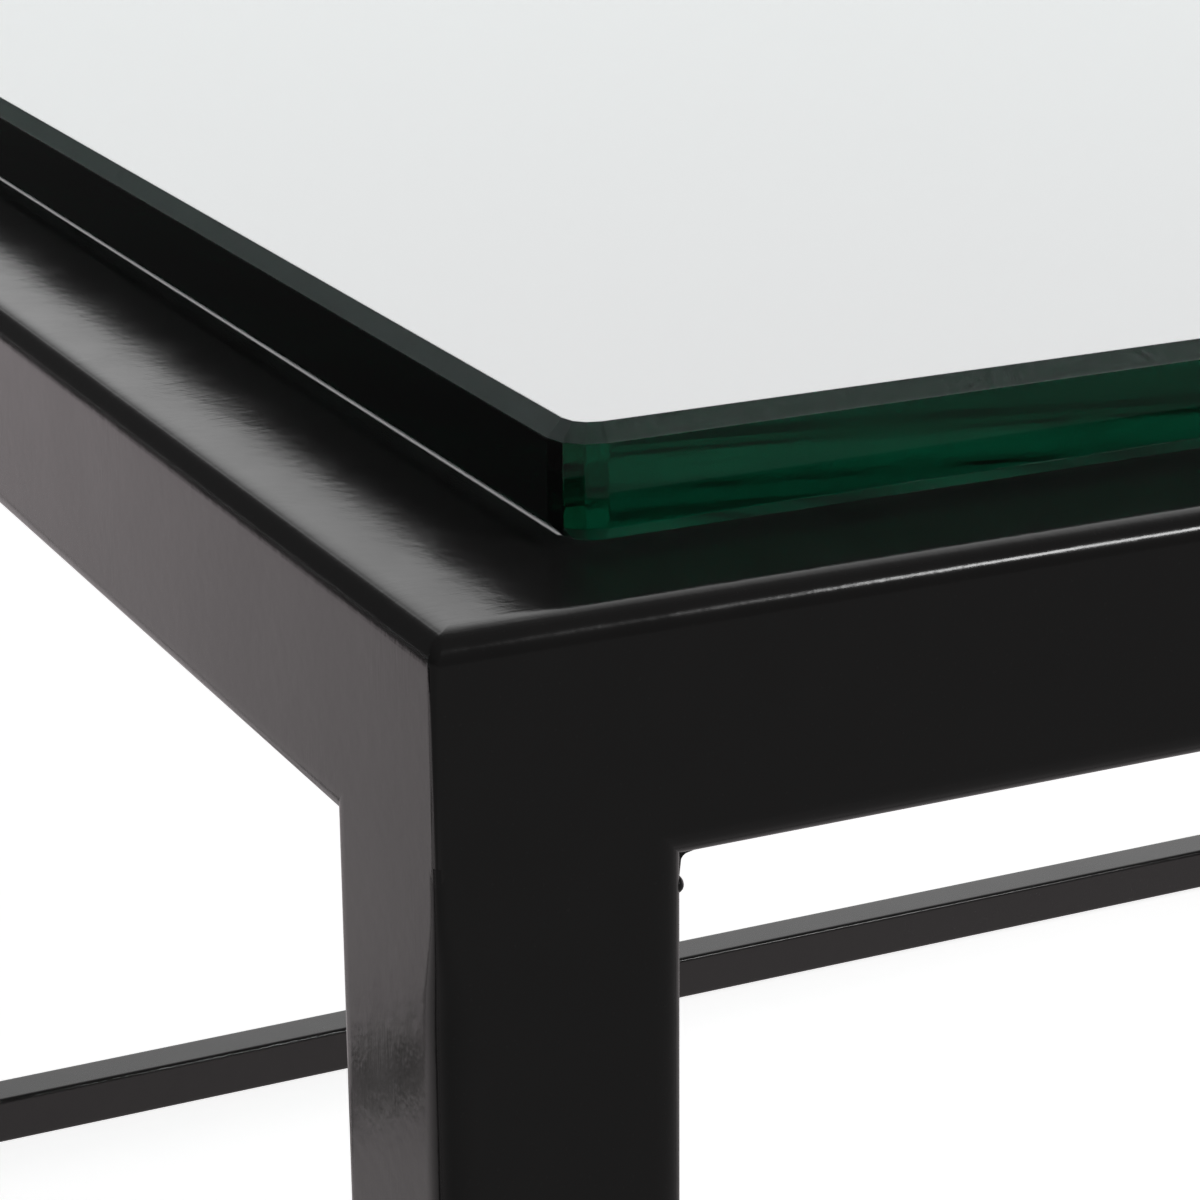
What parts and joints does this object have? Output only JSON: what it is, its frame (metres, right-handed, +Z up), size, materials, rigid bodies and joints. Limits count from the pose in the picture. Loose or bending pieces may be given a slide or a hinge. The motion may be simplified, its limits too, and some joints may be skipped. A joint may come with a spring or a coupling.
{
  "type": "nesting tables",
  "caption": "Nest of low rectangular tables: mitred square-tube steel frames in black paint, low stretchers on the ends and rear, loose thick glass tops; the smaller slides under the larger.",
  "frame": {"origin": "on the floor, under the middle of the pair of tables as they stand, the small one drawn out in front of the large one", "axes": "+Z up; +Y from the small table towards the large one, which is the way the small table slides in; +X to the right of a person who stands in front and faces +Y"},
  "size_m": [0.9, 1.6, 0.5031],
  "materials": {
    "black_paint": "satin-gloss black paint on welded steel tube",
    "clear_glass": "clear float glass, green at the polished edges",
    "black_plastic": "moulded black plastic, fine satin grain"
  },
  "bodies": {
    "large_table": {"large_front_rail": "black_paint", "large_right_rail": "black_paint", "large_rear_rail": "black_paint", "large_left_rail": "black_paint", "large_right_stretcher": "black_paint", "large_rear_stretcher": "black_paint", "large_left_stretcher": "black_paint", "large_front_left_leg": "black_paint", "large_front_right_leg": "black_paint", "large_rear_left_leg": "black_paint", "large_rear_right_leg": "black_paint", "large_front_left_glide": "black_plastic", "large_front_right_glide": "black_plastic", "large_rear_left_glide": "black_plastic", "large_rear_right_glide": "black_plastic"},
    "large_glass": {"large_glass_top": "clear_glass"},
    "small_table": {"small_front_rail": "black_paint", "small_right_rail": "black_paint", "small_rear_rail": "black_paint", "small_left_rail": "black_paint", "small_right_stretcher": "black_paint", "small_rear_stretcher": "black_paint", "small_left_stretcher": "black_paint", "small_front_left_leg": "black_paint", "small_front_right_leg": "black_paint", "small_rear_left_leg": "black_paint", "small_rear_right_leg": "black_paint", "small_front_left_glide": "black_plastic", "small_front_right_glide": "black_plastic", "small_rear_left_glide": "black_plastic", "small_rear_right_glide": "black_plastic"},
    "small_glass": {"small_glass_top": "clear_glass"}
  },
  "joints": [
    {"name": "small_table_slide", "type": "slide", "parent": "large_table", "child": "small_table", "axis": [0, 1, 0], "range_m": [0, 0.855]},
    {"name": "large_glass_lift", "type": "slide", "parent": "large_table", "child": "large_glass", "axis": [0, 0, 1], "range_m": [0, 0.04]},
    {"name": "small_glass_lift", "type": "slide", "parent": "small_table", "child": "small_glass", "axis": [0, 0, 1], "range_m": [0, 0.01]}
  ]
}
